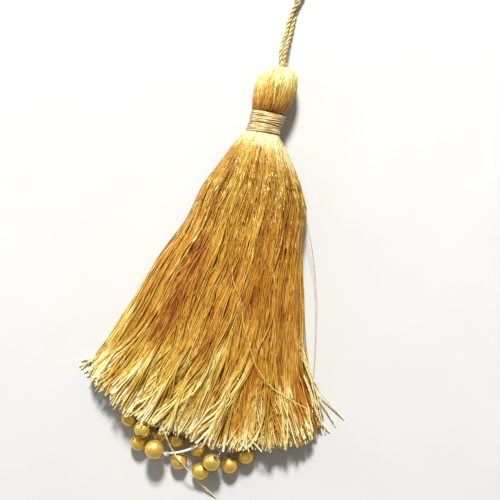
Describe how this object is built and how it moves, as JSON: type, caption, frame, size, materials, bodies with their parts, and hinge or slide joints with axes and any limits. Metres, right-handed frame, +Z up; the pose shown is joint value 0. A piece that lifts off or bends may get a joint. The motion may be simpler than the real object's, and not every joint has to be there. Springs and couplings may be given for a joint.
{
  "type": "silk tassel",
  "caption": "Gold silk tassel with a round head, wound neck, spread skirt, twisted hanging loop and small metal beads on nylon strings under the hem.",
  "frame": {"origin": "the point where the head rests on the surface, in the middle of its flat spot", "axes": "+Y runs along the tassel from the skirt to the hanging loop, +Z points up from the surface that it lies on, +X points to the right seen from above with the loop at the top"},
  "size_m": [0.0546, 0.1249, 0.0094],
  "materials": {
    "silk": "glossy twisted silk thread, ochre gold",
    "binding_thread": "fine pale gold thread, wound in close turns",
    "cord_silk": "two-ply twisted gold cord",
    "bead_metal": "gold-coloured metal, satin",
    "nylon": "clear nylon thread"
  },
  "bodies": {
    "root": {"tassel_body": "silk", "neck_binding": "binding_thread", "hanging_loop": "cord_silk", "bead_01": "bead_metal", "bead_02": "bead_metal", "bead_03": "bead_metal", "bead_04": "bead_metal", "bead_05": "bead_metal", "bead_06": "bead_metal", "bead_07": "bead_metal", "bead_08": "bead_metal", "bead_09": "bead_metal", "bead_10": "bead_metal", "bead_11": "bead_metal", "bead_12": "bead_metal", "bead_strings": "nylon"}
  },
  "joints": []
}
